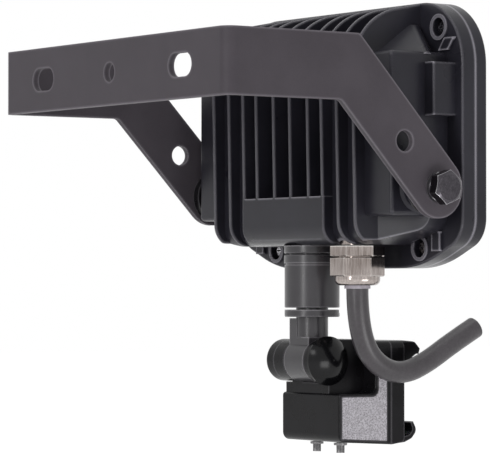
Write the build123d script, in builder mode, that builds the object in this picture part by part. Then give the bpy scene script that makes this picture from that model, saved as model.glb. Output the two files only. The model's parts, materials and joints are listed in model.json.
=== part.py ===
from build123d import *
import os
from math import cos, pi, radians, sin, tan

# Millimetres. X is across the lamp, the wall is on the +Y side, Z is up.
# The origin is on the wall, on the axis of the bracket's middle hole.
# A name that ends in _D is a distance in front of the wall.

# Wall bracket
STRAP_W = 178.0
STRAP_H = 28.0
SHEET = 3.0
BEND_R = 5.0
ARM_LEAN = 1.17
ARM_W = 26.2
ARM_ANGLE = 46.5
ARM_CORNER_R = 3.0
PIVOT_D = 110.0
PIVOT_Z = -49.4
WALL_HOLE_R = 4.2
SLOT_LENGTH = 17.5
SLOT_W = 10.0
SLOT_SPACING = 109.4
ARM_HOLE_D = 91.8
ARM_HOLE_Z = -30.2
ARM_HOLE_R = 4.5

# Pivot bolts and washers
BOLT_R = 4.0
BOLT_AF = 13.0
BOLT_HEAD = 5.4
BOLT_TURN = 39.0
HEAD_FLAT_R = 5.7
HEAD_CORNER_R = 7.6
HEAD_CHAMFER = 1.1
BOLT_TIP = 71.6
RUNNING = 0.08
SPRING_R = 6.6
SPRING_T = 2.2
SPRING_SLIT = 1.0
FRICTION_R = 11.3
WASHER_PLAY = 0.2
BOSS_R = 9.0
BOSS_ROOT_R = 1.2
BOSS_FACE = 79.3
GAP = 0.05

# Cast housing
FLANGE_HALF = 83.2
FLANGE_TOP = 32.1
FLANGE_BOTTOM = -83.2
SLANT_X = 53.7
SLANT_Z = -70.5
FLANGE_TOP_R = 28.0
FLANGE_SIDE_R = 13.0
FLANGE_LOW_R = 70.0
FLANGE_D = 125.8
SEAM_D = 133.0
FRONT_D = 139.4
FRONT_EDGE_R = 1.0
BLOCK_HALF = 73.0
BLOCK_D = 95.4
BLOCK_TOP = 9.3
BLOCK_BOTTOM = -61.0
BLOCK_CORNER_R = 2.0
BLOCK_EDGE_R = 1.6
BLOCK_INNER = 30.0
FLOOR_D = 110.0
SHELF_TOP = 20.0
LOW_BOTTOM = -73.0
LOW_HALF = 53.6
CORNER_START_D = 102.0
CORNER_END_D = 116.0
LOW_SLANT_X = 47.0
LOW_SLANT_Z = -66.2
LOW_CORNER_R = 7.3
FIN_X = [-53.3, -41.2, -29.9, -19.6, -6.2, 6.2, 19.6, 29.9, 41.2, 53.3]
FIN_T = 1.8
FIN_LEAN = 0.0205
FIN_TIP_D = 88.9
FIN_TOP_Z = 24.5
FIN_TOP_R = 28.0
FIN_LOW_R = 10.0
FIN_RISE = 7.4
TIP_R = 0.7
CENTRE_TOP = -51.9
CENTRE_D = 90.2
CENTRE_LOW_R = 8.0
PAD_HALF = 79.0
PAD_D = 113.5
PAD_TOP = 4.8
PAD_BOTTOM = -18.2
WALL = 3.0
EDGE_R = 0.8

# Sloped shoulders, as (across, distance, up) points on their two planes
SHOULDER_TOP = 22.3
SHOULDER_BACK = ((54.2, 106.0, 12.5), (54.2, 119.7, 22.3), (73.0, 114.5, 9.3))
SHOULDER_SIDE = ((54.2, 124.5, 22.3), (62.3, 125.8, 10.6), (73.0, 116.0, 9.3))
SHOULDER_R = 3.0

# Raised marks on the flange, for taking it off
LOW_TAB = (66.3, -71.8, 5.6, 8.4)
TOP_TAB = ((68.4, 10.4), (74.8, 10.4), (79.1, 15.8), (72.4, 15.8))
TAB_RISE = 1.5

# Cover screws, in pairs either side of the middle
TOP_SCREW = (67.5, 20.7)
LOW_SCREW = (54.0, -74.5)
RECESS_R = 4.2
RECESS_DEPTH = 3.0
RING_R = 5.7
RING_RISE = 0.9
SCREW_R = 1.5
SCREW_HEAD_R = 3.1
SCREW_HEAD = 2.0
SCREW_TIP_D = 136.6
CROSS = (3.0, 0.75)
CROSS_DEPTH = 1.1

# Front frame, glass and seals, as insets from the flange outline
CAVITY_INSET = 13.6
OPENING_INSET = 17.0
GLASS_INSET = 13.0
GASKET_INSET = 15.8
SEAL_INSETS = (10.4, 11.8)
SEAL_T = 1.1
GASKET_T = 0.8
GLASS_T = 3.2
FRAME_LIP = 1.2

# Lamp parts inside
BOARD = (54.0, 44.0)
BOARD_T = 1.6
BOARD_Z = -25.0
THERMAL_T = 0.4
LED_GRID = (6, 5)
LED_PITCH = 7.2
LED_SIZE = 3.0
LED_H = 0.7
M3_R = 1.5
M3_HEAD_R = 2.75
M3_HEAD = 1.8
BOARD_SCREW = (23.0, 18.0)
REFLECTOR_BACK = (42.0, 35.0)
REFLECTOR_FRONT = (128.0, 70.0)
REFLECTOR_BACK_D = 117.2
REFLECTOR_FRONT_D = 132.6
REFLECTOR_T = 0.7
DRIVER_X = 51.5
DRIVER = (30.0, 58.0)
DRIVER_Z = -26.0
DRIVER_D = 102.0
POST_R = 2.6
TERMINAL = (14.0, 30.0, 12.0)
TERMINAL_X = -52.0
TERMINAL_Z = -24.0
EARTH_Z = 0.0
EARTH_D = 101.0

# Cable gland and cable
GLAND_X = -34.7
GLAND_D = 106.0
GLAND_AF = 20.6
GLAND_TURN = -1.6
NUT_TURN = -6.3
GLAND_SEAT = -73.6
GLAND_HEX_END = -78.2
NUT_TOP = -78.6
NUT_HEX_END = -86.9
NUT_DOME_END = -90.8
NUT_DOME_R = 9.95
GLAND_THREAD_R = 7.9
GLAND_CHIN_R = 8.6
GLAND_CHIN_END = -83.5
GLAND_BORE_R = 5.3
SEAL_LEDGE = -88.6
SEAL_LIP_R = 5.7
GLAND_EXIT = -92.2
CABLE_R = 4.85
SHEATH_TOP = -64.0

# Sensor stem, on one vertical axis
STEM_D = 106.7
COLLAR_R = 12.45
COLLAR_END = -76.6
SLEEVE_R = 12.25
SLEEVE_TOP = -77.0
SLEEVE_RING_END = -80.9
GROOVE_W = 0.6
SLEEVE_END = -100.6
SOCKET_R = 10.0
SOCKET_END = -99.8
SPIGOT_TOP = -66.0
SPIGOT_R = 9.9
LOCKNUT_AF = 24.0
O_RING_Z = (-92.0, -90.0)
O_RING_R = 8.4
LOCK_R = 12.25
LOCK_TOP = -101.5
LOCK_END = -104.7
LOCK_NOTCH = (-9.0, -4.0)
SHAFT_R = 7.15
SHAFT_BORE_R = 3.6
SHAFT_TOP = -62.6
SHAFT_END = -114.6
CLIP_T = 1.4
CLIP_R = 8.8
CLIP_BORE_R = 6.3
CLIP_Z = -64.5
RIB_X = (1.5, 7.2)
RIB_D = 99.5

# Sensor head, tilting about an axis along X
TILT_D = 105.7
TILT_Z = -124.1
BARREL_R = 9.4
KNUCKLE_HALF = 7.2
NECK_FRONT_D = 113.0
SLOT_HALF = 7.6
NEAR_EAR = -12.4
FAR_EAR = 15.2
PIN_R = 2.5
CAP_R = 10.9
CAP_RISE = 4.2
CAP_RIM = 1.2
END_CAP_T = 6.9
END_CAP_R = 2.4
WEB_FAR = 20.0
WEB_D = 106.8
HEAD_HALF = 21.9
HEAD_REAR_D = 105.7
BRIDGE_D = 120.3
STEP_D = 125.8
CASE_SEAM_D = 134.3
BEZEL_D = 141.6
HEAD_TOP = -115.2
STEP_Z = -138.5
STEP_R = 3.5
HEAD_BOTTOM = -159.8
HEAD_SLOPE = 0.055
HEAD_ROUND = 3.5
CASE_WALL = 2.0
CASE_R = 1.2
PANEL_T = 0.8
PANEL_TOP = -126.0
PANEL_MARGIN = 1.6
LENS_HALF = 16.6
LENS_TOP = -121.5
LENS_BOTTOM = -152.0
LENS_BULGE = 5.0
LENS_T = 1.2
KNOB_X = 8.9
KNOB_D = 115.8
KNOB_R = 1.85
KNOB_FLANGE_R = 3.0
KNOB_END = -165.1
KNOB_HOLE_R = 2.25
KNOB_FLANGE_T = 1.0
KNOB_GAP = 0.15
KNOB_SLOT_W = 0.8
KNOB_SLOT_DEPTH = 1.2
VISOR_HALF = 20.6
VISOR = [(148.3, -115.8), (151.3, -119.0), (150.6, -121.3)]
CHEEK = [(150.4, -120.5), (146.0, -123.4), (143.2, -128.0)]
CHEEK_X = (17.2, 20.6)
LIP = [(142.6, -160.6), (146.6, -159.0), (149.6, -155.5), (147.4, -151.4), (146.2, -151.8),
       (147.5, -155.3), (145.4, -157.5)]
SENSOR_Z = -136.8
SENSOR_BOARD_D = 131.2
SENSOR_BOARD = (34.0, 38.0)
CONTROL_BOARD_HALF = 16.0
POT_H = 5.0

# Route of the free cable, from the gland to its cut end, as (front, up)
CABLE_ROUTE = [
    (106.0, -92.2),
    (106.0, -102.4),
    (109.7, -118.2),
    (119.1, -127.2),
    (131.5, -129.7),
    (144.3, -124.7),
    (158.9, -116.0),
    (171.4, -109.5),
]


def save(builder, name):
    builder.part.label = name
    export_step(builder.part, f"parts/{name}.step")


def round_corner(sketch, at, radius):
    """Round the corner of the open sketch that is nearest to a point."""
    fillet(sketch.vertices().sort_by_distance(Vector(*at))[0], radius)


def rim_plate(start, end, inset=0.0, mode=Mode.ADD):
    """A plate of the flange outline between two distances from the wall."""
    right = [(FLANGE_HALF, FLANGE_TOP), (FLANGE_HALF, SLANT_Z), (SLANT_X, FLANGE_BOTTOM)]
    left = [(-x, z) for x, z in reversed(right)]
    with BuildSketch(Plane.XZ.offset(start)) as outline:
        with BuildLine():
            Polyline(*right, *left, close=True)
        make_face()
        for corner, radius in zip(right, (FLANGE_TOP_R, FLANGE_SIDE_R, FLANGE_LOW_R)):
            round_corner(outline, corner, radius)
            round_corner(outline, (-corner[0], corner[1]), radius)
        if inset:
            offset(amount=-inset, mode=Mode.REPLACE)
    extrude(outline.sketch, amount=end - start, mode=mode)


def block(x, d, z, mode=Mode.ADD):
    """A box from its two limits across, in front of the wall and up."""
    middle = ((x[0] + x[1]) / 2, -(d[0] + d[1]) / 2, (z[0] + z[1]) / 2)
    with Locations(middle):
        Box(abs(x[1] - x[0]), abs(d[1] - d[0]), abs(z[1] - z[0]), mode=mode)


def upright(x, d, z, radius, mode=Mode.ADD):
    """A cylinder along Z between two heights."""
    with Locations((x, -d, (z[0] + z[1]) / 2)):
        Cylinder(radius, abs(z[1] - z[0]), mode=mode)


def forward(x, d, z, radius, mode=Mode.ADD):
    """A cylinder along Y between two distances from the wall."""
    with Locations((x, -(d[0] + d[1]) / 2, z)):
        Cylinder(radius, abs(d[1] - d[0]), rotation=(90, 0, 0), mode=mode)


def crossways(x, d, z, radius, mode=Mode.ADD):
    """A cylinder along X between two places across the lamp."""
    with Locations(((x[0] + x[1]) / 2, -d, z)):
        Cylinder(radius, abs(x[1] - x[0]), rotation=(0, 90, 0), mode=mode)


def side_profile(points, x, corners=(), mode=Mode.ADD):
    """A plate across the lamp with a side view of (distance, up) points."""
    with BuildSketch(Plane.YZ.offset(x[0])) as profile:
        with BuildLine():
            Polyline(*[(-d, z) for d, z in points], close=True)
        make_face()
        for (d, z), radius in corners:
            round_corner(profile, (-d, z), radius)
    extrude(profile.sketch, amount=x[1] - x[0], mode=mode)


def screw_places():
    places = []
    for x, z in (TOP_SCREW, LOW_SCREW):
        places += [(x, z), (-x, z)]
    return places


def tube_radii(points):
    """Radius of the arc at each inner point of the cable's route."""
    radii = []
    for before, here, after in zip(points, points[1:], points[2:]):
        run_in = Vector(*here) - Vector(*before)
        run_out = Vector(*after) - Vector(*here)
        shorter = min(run_in.length, run_out.length)
        turn = run_in.get_angle(run_out)
        radii.append(0.45 * shorter / tan(radians(turn / 2)))
    return radii


os.makedirs("parts", exist_ok=True)

# Wall bracket: the plan of a U of sheet, cut to the side view of its arms
half_arm = ARM_W / 2
along = (-cos(radians(ARM_ANGLE)), sin(radians(ARM_ANGLE)))
across = (sin(radians(ARM_ANGLE)), cos(radians(ARM_ANGLE)))
upper_end = (PIVOT_D + across[0] * half_arm, PIVOT_Z + across[1] * half_arm)
lower_end = (PIVOT_D - across[0] * half_arm, PIVOT_Z - across[1] * half_arm)
upper_turn = upper_end[0] + along[0] * (STRAP_H / 2 - upper_end[1]) / along[1]
lower_turn = lower_end[0] + along[0] * (-STRAP_H / 2 - lower_end[1]) / along[1]
strap_top = STRAP_H / 2


def arm_face(d):
    """Half width over the arms' outer faces at a distance from the wall."""
    return STRAP_W / 2 - d * tan(radians(ARM_LEAN))


def strap_plan(inset, mode=Mode.ADD):
    """A tall block with the plan of the strap's outside or inside."""
    back = arm_face(inset) - inset / cos(radians(ARM_LEAN))
    front = back - STRAP_W * tan(radians(ARM_LEAN))
    with BuildSketch(Plane.XY.offset(-STRAP_W)) as plan:
        with BuildLine():
            Polyline((back, -inset), (front, -inset - STRAP_W), (-front, -inset - STRAP_W),
                     (-back, -inset), close=True)
        make_face()
        round_corner(plan, (back, -inset), BEND_R - inset)
        round_corner(plan, (-back, -inset), BEND_R - inset)
    extrude(plan.sketch, amount=2 * STRAP_W, mode=mode)


with BuildPart() as mounting_bracket:
    strap_plan(0)
    strap_plan(SHEET, Mode.SUBTRACT)
    with BuildSketch(Plane.YZ) as side:
        with BuildLine():
            Polyline((0, strap_top), (-upper_turn, strap_top), (-upper_end[0], upper_end[1]),
                     (-lower_end[0], lower_end[1]), (-lower_turn, -strap_top), (0, -strap_top),
                     close=True)
        make_face()
        round_corner(side, (-upper_turn, strap_top), ARM_CORNER_R)
        round_corner(side, (-lower_turn, -strap_top), ARM_CORNER_R)
        with Locations((-PIVOT_D, PIVOT_Z)):
            Circle(half_arm)
    extrude(amount=STRAP_W, both=True, mode=Mode.INTERSECT)
    crossways((-STRAP_W, STRAP_W), PIVOT_D, PIVOT_Z, BOLT_R + RUNNING, Mode.SUBTRACT)
    crossways((-STRAP_W, STRAP_W), ARM_HOLE_D, ARM_HOLE_Z, ARM_HOLE_R, Mode.SUBTRACT)
    forward(0, (-1, 2 * SHEET), 0, WALL_HOLE_R, Mode.SUBTRACT)
    with BuildSketch(Plane.XZ.offset(-1)):
        with GridLocations(SLOT_SPACING, STRAP_H, 2, 1):
            SlotOverall(SLOT_LENGTH, SLOT_W)
    extrude(amount=2 * SHEET, mode=Mode.SUBTRACT)
save(mounting_bracket, "mounting_bracket")

# Pivot bolts and their washers, one set on each side
SPRING_X = arm_face(PIVOT_D - SPRING_R) + GAP
HEAD_X = SPRING_X + SPRING_T
ARM_INNER = arm_face(PIVOT_D + FRICTION_R) - SHEET / cos(radians(ARM_LEAN))


def pivot_ring(start, thickness, outer):
    """A washer on the pivot axis and its copy on the other side."""
    for near, far in ((start, start + thickness), (-start - thickness, -start)):
        crossways((near, far), PIVOT_D, PIVOT_Z, outer)
    crossways((-STRAP_W, STRAP_W), PIVOT_D, PIVOT_Z, BOLT_R + WASHER_PLAY, Mode.SUBTRACT)


with BuildPart() as spring_washers:
    pivot_ring(SPRING_X, SPRING_T, SPRING_R)
    split_z = (PIVOT_Z - SPRING_SLIT / 2, PIVOT_Z + SPRING_SLIT / 2)
    block((-STRAP_W, STRAP_W), (PIVOT_D, PIVOT_D + 2 * SPRING_R), split_z, Mode.SUBTRACT)
save(spring_washers, "spring_washers")

with BuildPart() as friction_washers:
    pivot_ring(BOSS_FACE, ARM_INNER - BOSS_FACE - GAP, FRICTION_R)
save(friction_washers, "friction_washers")

with BuildPart() as pivot_bolts:
    with BuildSketch(Plane.YZ.offset(HEAD_X)):
        with Locations((-PIVOT_D, PIVOT_Z)):
            RegularPolygon(BOLT_AF / 2, 6, major_radius=False, rotation=BOLT_TURN)
    extrude(amount=BOLT_HEAD)
    with BuildSketch(Plane.XY.offset(PIVOT_Z)):
        with BuildLine():
            head_top = HEAD_X + BOLT_HEAD
            Polyline((HEAD_X, -PIVOT_D), (head_top, -PIVOT_D),
                     (head_top, HEAD_FLAT_R - PIVOT_D),
                     (head_top - HEAD_CHAMFER, HEAD_CORNER_R - PIVOT_D),
                     (HEAD_X, HEAD_CORNER_R - PIVOT_D), close=True)
        make_face()
    revolve(axis=Axis((0, -PIVOT_D, PIVOT_Z), (1, 0, 0)), mode=Mode.INTERSECT)
    crossways((BOLT_TIP, HEAD_X), PIVOT_D, PIVOT_Z, BOLT_R)
    mirror(about=Plane.YZ)
save(pivot_bolts, "pivot_bolts")

# Cast rear housing. The cooling fin is made once and placed along the back.
FIN_FOOT = FLANGE_D + 1
TIP_LOW_D = FIN_TIP_D + FIN_LEAN * (BLOCK_TOP - LOW_BOTTOM)
TIP_TOP_D = FIN_TIP_D - FIN_LEAN * (FIN_TOP_Z - BLOCK_TOP)

with BuildPart() as fin:
    side_profile(
        [(FIN_FOOT, LOW_BOTTOM), (TIP_LOW_D, LOW_BOTTOM), (TIP_TOP_D, FIN_TOP_Z),
         (FIN_FOOT, FIN_TOP_Z + FIN_RISE)],
        (-FIN_T / 2, FIN_T / 2),
        [((TIP_LOW_D, LOW_BOTTOM), FIN_LOW_R), ((TIP_TOP_D, FIN_TOP_Z), FIN_TOP_R)],
    )
    sides = fin.faces().filter_by(Axis.X)
    fin_edges = sides.edges().filter_by(lambda e: e.center().Y > -FIN_FOOT + 1)
    fillet(fin_edges, TIP_R)

with BuildPart() as side_blocks:
    with BuildSketch(Plane.XZ.offset(BLOCK_D)):
        with Locations((0, (BLOCK_TOP + BLOCK_BOTTOM) / 2)):
            RectangleRounded(2 * BLOCK_HALF, BLOCK_TOP - BLOCK_BOTTOM, BLOCK_CORNER_R)
    extrude(amount=SEAM_D - BLOCK_D - 1)
    fillet(side_blocks.faces().sort_by(Axis.Y)[-1].edges(), BLOCK_EDGE_R)

with BuildPart() as low_body:
    with BuildSketch(Plane.XY.offset(LOW_BOTTOM)):
        plan_points = [(LOW_HALF, -BLOCK_D), (LOW_HALF, -CORNER_START_D),
                       (BLOCK_HALF, -CORNER_END_D), (BLOCK_HALF, -FLANGE_D - 2)]
        with BuildLine():
            Polyline(*plan_points, *[(-x, y) for x, y in reversed(plan_points)], close=True)
        make_face()
    extrude(amount=BLOCK_BOTTOM - LOW_BOTTOM + 2)
    low_edges = low_body.edges().filter_by(Axis.X).group_by(Axis.Z)[0]
    fillet(low_edges.sort_by(Axis.Y)[-1], FIN_LOW_R - 2.5)

with BuildPart() as low_corners:
    with BuildSketch(Plane.XZ.offset(CENTRE_D - 5)) as corner:
        low_z = LOW_BOTTOM - 2
        high_z = BLOCK_BOTTOM + 2
        out_x = BLOCK_HALF + 2
        with BuildLine():
            Polyline((LOW_SLANT_X, LOW_BOTTOM), (BLOCK_HALF, LOW_SLANT_Z),
                     (BLOCK_HALF, high_z), (out_x, high_z), (out_x, low_z),
                     (LOW_SLANT_X, low_z), close=True)
        make_face()
        round_corner(corner, (BLOCK_HALF, LOW_SLANT_Z), LOW_CORNER_R)
    extrude(corner.sketch, amount=FLANGE_D - CENTRE_D + 5)
    mirror(about=Plane.YZ)

with BuildPart() as centre_block:
    low_corner = (CENTRE_D, LOW_BOTTOM)
    side_profile([(CENTRE_D, CENTRE_TOP), low_corner, (FIN_FOOT, LOW_BOTTOM),
                  (FIN_FOOT, CENTRE_TOP)], (-BLOCK_INNER - 1, BLOCK_INNER + 1),
                 [(low_corner, CENTRE_LOW_R)])
    ends = centre_block.faces().filter_by(Axis.X)
    end_edges = ends.edges().filter_by(lambda e: e.center().Y > -FIN_FOOT + 1)
    fillet(end_edges.filter_by(lambda e: e.center().Z < CENTRE_TOP - 0.1), TIP_R)


def shave(points):
    """Cut away what lies above the plane through three points."""
    first, second, third = [Vector(x, -d, z) for x, d, z in points]
    normal = (second - first).cross(third - first)
    if normal.Z < 0:
        normal = -normal
    split(bisect_by=Plane(first, z_dir=normal), keep=Keep.BOTTOM)


with BuildPart() as shoulders:
    block((LOW_HALF, BLOCK_HALF), (BLOCK_D, FLANGE_D + 1), (BLOCK_TOP - 1, SHOULDER_TOP))
    shave(SHOULDER_BACK)
    shave(SHOULDER_SIDE)
    ridge = shoulders.edges().sort_by_distance(Vector(63, -117, 15))[0]
    fillet(ridge, SHOULDER_R)
    mirror(about=Plane.YZ)

with BuildPart() as pads:
    block((BLOCK_HALF - 1, PAD_HALF), (PAD_D, FLANGE_D + 1), (PAD_BOTTOM, PAD_TOP))
    outer_face = pads.faces().sort_by(Axis.X)[-1]
    fillet(outer_face.edges().filter_by(lambda e: e.center().Y > -FLANGE_D), EDGE_R)
    mirror(about=Plane.YZ)

with BuildPart() as bosses:
    crossways((BLOCK_HALF - 4, BOSS_FACE), PIVOT_D, PIVOT_Z, BOSS_R)
    with BuildSketch(Plane.XY.offset(PIVOT_Z)) as root:
        root_r = BOSS_R + BOSS_ROOT_R
        with BuildLine():
            Polyline((BLOCK_HALF - 1, -PIVOT_D), (BLOCK_HALF - 1, root_r - PIVOT_D),
                     (BLOCK_HALF, root_r - PIVOT_D), (BLOCK_HALF + BOSS_ROOT_R, BOSS_R - PIVOT_D),
                     (BLOCK_HALF + BOSS_ROOT_R, -PIVOT_D), close=True)
        make_face()
    revolve(root.sketch, axis=Axis((0, -PIVOT_D, PIVOT_Z), (1, 0, 0)))
    mirror(about=Plane.YZ)

with BuildPart() as tabs:
    with BuildSketch(Plane.XZ.offset(FLANGE_D - TAB_RISE)):
        with Locations(LOW_TAB[:2]):
            Rectangle(*LOW_TAB[2:])
        with BuildLine():
            Polyline(*TOP_TAB, close=True)
        make_face()
    extrude(amount=TAB_RISE + 1)
    mirror(about=Plane.YZ)


def board_screw_places():
    x, z = BOARD_SCREW
    return [(x, BOARD_Z + z), (-x, BOARD_Z + z), (x, BOARD_Z - z), (-x, BOARD_Z - z)]


def driver_screw_places():
    places = []
    for x in (-1, 1):
        for z in (-1, 1):
            places.append((DRIVER_X + x * (DRIVER[0] / 2 - 3), DRIVER_Z + z * (DRIVER[1] / 2 - 3)))
    return places


with BuildPart() as seal_groove:
    rim_plate(SEAM_D - SEAL_T, SEAM_D, SEAL_INSETS[0])
    rim_plate(SEAM_D - SEAL_T, SEAM_D, SEAL_INSETS[1], Mode.SUBTRACT)

RECESS_D = FLANGE_D + RECESS_DEPTH
INNER_BACK = FLOOR_D + WALL
POCKET_BACK = BLOCK_D + WALL
POCKET_HALF = BLOCK_HALF - WALL
POCKET_INNER = BLOCK_INNER + WALL
POCKET_LOW = BLOCK_BOTTOM + WALL
TROUGH_LOW = LOW_BOTTOM + WALL

with BuildPart() as rear_housing:
    rim_plate(FLANGE_D, SEAM_D)
    fillet(rear_housing.faces().sort_by(Axis.Y)[-1].edges(), EDGE_R)
    add(side_blocks.part)
    block((-LOW_HALF, LOW_HALF), (FLOOR_D - 2, FLANGE_D + 1), (BLOCK_BOTTOM, SHELF_TOP))
    block((-BLOCK_INNER, BLOCK_INNER), (BLOCK_D - 1, FLOOR_D), (CENTRE_TOP, SHELF_TOP + 1),
          Mode.SUBTRACT)
    add(low_body.part)
    add(centre_block.part)
    add(shoulders.part)
    add(pads.part)
    with Locations([(x, 0, 0) for x in FIN_X]):
        add(fin.part)
    add(low_corners.part, mode=Mode.SUBTRACT)
    add(bosses.part)
    add(tabs.part)
    for x, z in screw_places():
        forward(x, (FLANGE_D - RING_RISE, FLANGE_D + 1), z, RING_R)
    rim_plate(FLANGE_D + WALL, SEAM_D, CAVITY_INSET, Mode.SUBTRACT)
    block((-LOW_HALF, LOW_HALF), (INNER_BACK, SEAM_D), (POCKET_LOW, SHELF_TOP - WALL),
          Mode.SUBTRACT)
    for sign in (1, -1):
        block((sign * POCKET_INNER, sign * POCKET_HALF), (POCKET_BACK, SEAM_D),
              (POCKET_LOW, BLOCK_TOP - WALL), Mode.SUBTRACT)
    trough_half = LOW_HALF - WALL
    block((-trough_half, trough_half), (POCKET_BACK, SEAM_D - 1), (TROUGH_LOW, POCKET_LOW + 1),
          Mode.SUBTRACT)
    block((POCKET_INNER - 6, 6 - POCKET_INNER), (CENTRE_D + WALL, POCKET_BACK + 1),
          (TROUGH_LOW, POCKET_LOW), Mode.SUBTRACT)
    for sign in (1, -1):
        crossways((sign * (BOLT_TIP - 0.2), sign * (BOSS_FACE + 1)), PIVOT_D, PIVOT_Z,
                  BOLT_R + GAP, Mode.SUBTRACT)
    upright(GLAND_X, GLAND_D, (LOW_BOTTOM - 1, TROUGH_LOW + 2), GLAND_THREAD_R + GAP,
            Mode.SUBTRACT)
    upright(0, STEM_D, (LOW_BOTTOM - 1, TROUGH_LOW + 1), SPIGOT_R + GAP, Mode.SUBTRACT)
    for x, z in screw_places():
        forward(x, (FLANGE_D - 2, RECESS_D), z, RECESS_R, Mode.SUBTRACT)
        forward(x, (FLANGE_D, SEAM_D + 1), z, SCREW_R + WASHER_PLAY, Mode.SUBTRACT)
    add(seal_groove.part, mode=Mode.SUBTRACT)
    for x, z in board_screw_places():
        forward(x, (INNER_BACK - 2, INNER_BACK + 1), z, M3_R + GAP, Mode.SUBTRACT)
    for x, z in driver_screw_places():
        forward(x, (POCKET_BACK - 1, DRIVER_D), z, POST_R)
        forward(x, (POCKET_BACK, DRIVER_D + 1), z, M3_R + GAP, Mode.SUBTRACT)
    forward(TERMINAL_X, (POCKET_BACK - 1, EARTH_D), EARTH_Z, POST_R + 1)
    forward(TERMINAL_X, (POCKET_BACK, EARTH_D + 1), EARTH_Z, M3_R + GAP, Mode.SUBTRACT)
save(rear_housing, "rear_housing")

# Front frame, glass and seals
GLASS_FRONT = FRONT_D - FRAME_LIP - GAP
GLASS_BACK = GLASS_FRONT - GLASS_T

with BuildPart() as front_frame:
    rim_plate(SEAM_D + GAP, FRONT_D)
    fillet(front_frame.faces().sort_by(Axis.Y)[0].edges(), FRONT_EDGE_R)
    rim_plate(SEAM_D, FRONT_D + 1, OPENING_INSET, Mode.SUBTRACT)
    rim_plate(SEAM_D, GLASS_FRONT + GAP, GLASS_INSET - WASHER_PLAY, Mode.SUBTRACT)
    for x, z in screw_places():
        forward(x, (SEAM_D - 1, SCREW_TIP_D + 0.2), z, SCREW_R + GAP, Mode.SUBTRACT)
save(front_frame, "front_frame")

with BuildPart() as front_glass:
    rim_plate(GLASS_BACK, GLASS_FRONT, GLASS_INSET)
save(front_glass, "front_glass")

with BuildPart() as glass_gasket:
    rim_plate(SEAM_D + GAP, GLASS_BACK - GAP, GLASS_INSET)
    rim_plate(SEAM_D, GLASS_BACK, GASKET_INSET, Mode.SUBTRACT)
save(glass_gasket, "glass_gasket")

with BuildPart() as housing_seal:
    rim_plate(SEAM_D - SEAL_T + GAP, SEAM_D, SEAL_INSETS[0] + GAP)
    rim_plate(SEAM_D - SEAL_T, SEAM_D + 1, SEAL_INSETS[1] - GAP, Mode.SUBTRACT)
save(housing_seal, "housing_seal")

with BuildPart() as cover_screws:
    for x, z in screw_places():
        forward(x, (RECESS_D - GAP - SCREW_HEAD, RECESS_D - GAP), z, SCREW_HEAD_R)
    heads = cover_screws.faces().filter_by(Axis.Y).group_by(Axis.Y)[-1]
    fillet(heads.edges(), 0.7)
    for x, z in screw_places():
        forward(x, (RECESS_D - SCREW_HEAD, SCREW_TIP_D), z, SCREW_R)
        for size in (CROSS, CROSS[::-1]):
            top = RECESS_D - GAP - SCREW_HEAD
            block((x - size[0] / 2, x + size[0] / 2), (top - 1, top + CROSS_DEPTH),
                  (z - size[1] / 2, z + size[1] / 2), Mode.SUBTRACT)
save(cover_screws, "cover_screws")

# Lamp parts inside the housing
BOARD_BACK = INNER_BACK + THERMAL_T
BOARD_FRONT = BOARD_BACK + BOARD_T


def face_box(size, x, z, start, depth, mode=Mode.ADD):
    """A box that stands on a plane facing the front."""
    block((x - size[0] / 2, x + size[0] / 2), (start, start + depth),
          (z - size[1] / 2, z + size[1] / 2), mode)


with BuildPart() as thermal_pad:
    face_box(BOARD, 0, BOARD_Z, INNER_BACK + GAP / 2, THERMAL_T - GAP)
    for x, z in board_screw_places():
        forward(x, (INNER_BACK, BOARD_BACK), z, M3_R + WASHER_PLAY, Mode.SUBTRACT)
save(thermal_pad, "thermal_pad")

with BuildPart() as led_board:
    face_box(BOARD, 0, BOARD_Z, BOARD_BACK, BOARD_T)
    for x, z in board_screw_places():
        forward(x, (BOARD_BACK - 1, BOARD_FRONT + 1), z, M3_R + WASHER_PLAY, Mode.SUBTRACT)
save(led_board, "led_board")

with BuildPart() as led_chips:
    for column in range(LED_GRID[0]):
        for row in range(LED_GRID[1]):
            x = (column - (LED_GRID[0] - 1) / 2) * LED_PITCH
            z = BOARD_Z + (row - (LED_GRID[1] - 1) / 2) * LED_PITCH
            face_box((LED_SIZE, LED_SIZE), x, z, BOARD_FRONT, LED_H)
save(led_chips, "led_chips")

with BuildPart() as board_screws:
    for x, z in board_screw_places():
        forward(x, (BOARD_FRONT, BOARD_FRONT + M3_HEAD), z, M3_HEAD_R)
        forward(x, (INNER_BACK - 1.8, BOARD_FRONT), z, M3_R)
save(board_screws, "board_screws")


def reflector_shell(shrink, mode=Mode.ADD):
    """The reflector's funnel, smaller by twice the given amount."""
    with BuildSketch(Plane.XZ.offset(REFLECTOR_BACK_D)) as back:
        with Locations((0, BOARD_Z)):
            RectangleRounded(REFLECTOR_BACK[0] - 2 * shrink, REFLECTOR_BACK[1] - 2 * shrink, 3)
    with BuildSketch(Plane.XZ.offset(REFLECTOR_FRONT_D)) as front:
        with Locations((0, BOARD_Z)):
            RectangleRounded(REFLECTOR_FRONT[0] - 2 * shrink, REFLECTOR_FRONT[1] - 2 * shrink, 8)
    loft([back.sketch, front.sketch], mode=mode)


with BuildPart() as reflector:
    reflector_shell(0)
    rim_plate(REFLECTOR_FRONT_D - REFLECTOR_T, REFLECTOR_FRONT_D, CAVITY_INSET + WASHER_PLAY)
    reflector_shell(REFLECTOR_T, Mode.SUBTRACT)
save(reflector, "reflector")

with BuildPart() as driver_board:
    face_box(DRIVER, DRIVER_X, DRIVER_Z, DRIVER_D, BOARD_T)
    for x, z in driver_screw_places():
        forward(x, (DRIVER_D - 1, DRIVER_D + BOARD_T + 1), z, M3_R + WASHER_PLAY, Mode.SUBTRACT)
save(driver_board, "driver_board")

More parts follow.
